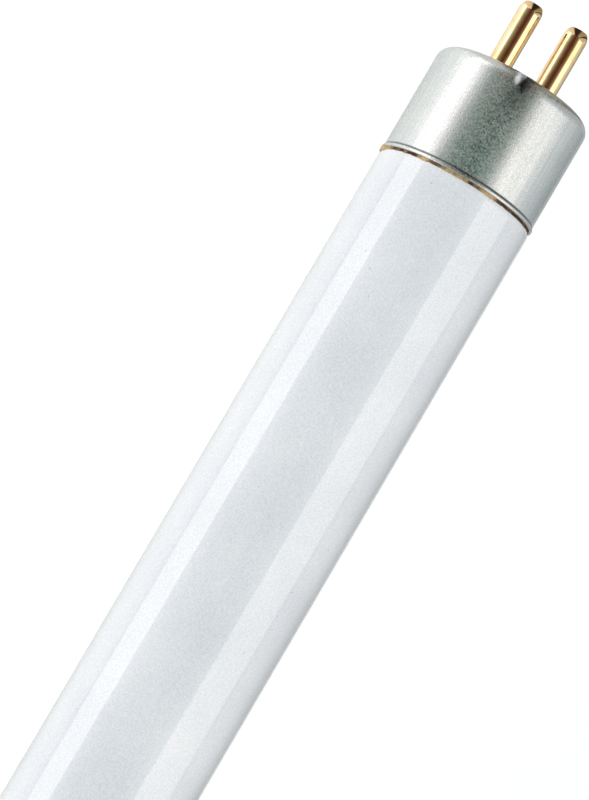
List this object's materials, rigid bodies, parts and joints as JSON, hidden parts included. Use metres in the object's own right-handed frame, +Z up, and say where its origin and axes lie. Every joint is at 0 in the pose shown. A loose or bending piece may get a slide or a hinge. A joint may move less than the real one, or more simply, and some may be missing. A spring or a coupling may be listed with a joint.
{
  "type": "fluorescent tube",
  "caption": "Straight coated glass discharge tube with an aluminium cap and brass contact pins at each end, for miniature push-in lampholders.",
  "frame": {"origin": "middle of the lamp on the tube's axis, halfway between the end faces of the two caps", "axes": "+X along the tube, out through the cap whose nodes are named right; the two pins of each end lie side by side along Y, front at -Y and back at +Y; +Z up"},
  "size_m": [0.3028, 0.0158, 0.0158],
  "materials": {
    "coated_glass": "clear soda-lime glass over an opaque white phosphor coating on its inner wall",
    "cap_aluminium": "drawn sheet, satin",
    "pin_brass": "turned and polished",
    "phenolic": "moulded phenolic resin",
    "basing_cement": "baked resin and marble-flour cement, granular",
    "lead_wire": "drawn nickel-iron wire"
  },
  "bodies": {
    "root": {"glass_bulb": "coated_glass", "right_cap_shell": "cap_aluminium", "right_insulator": "phenolic", "right_cement_ring": "basing_cement", "right_pin_front": "pin_brass", "right_pin_back": "pin_brass", "right_lead_front": "lead_wire", "right_lead_back": "lead_wire", "left_cap_shell": "cap_aluminium", "left_insulator": "phenolic", "left_cement_ring": "basing_cement", "left_pin_front": "pin_brass", "left_pin_back": "pin_brass", "left_lead_front": "lead_wire", "left_lead_back": "lead_wire"}
  },
  "joints": []
}
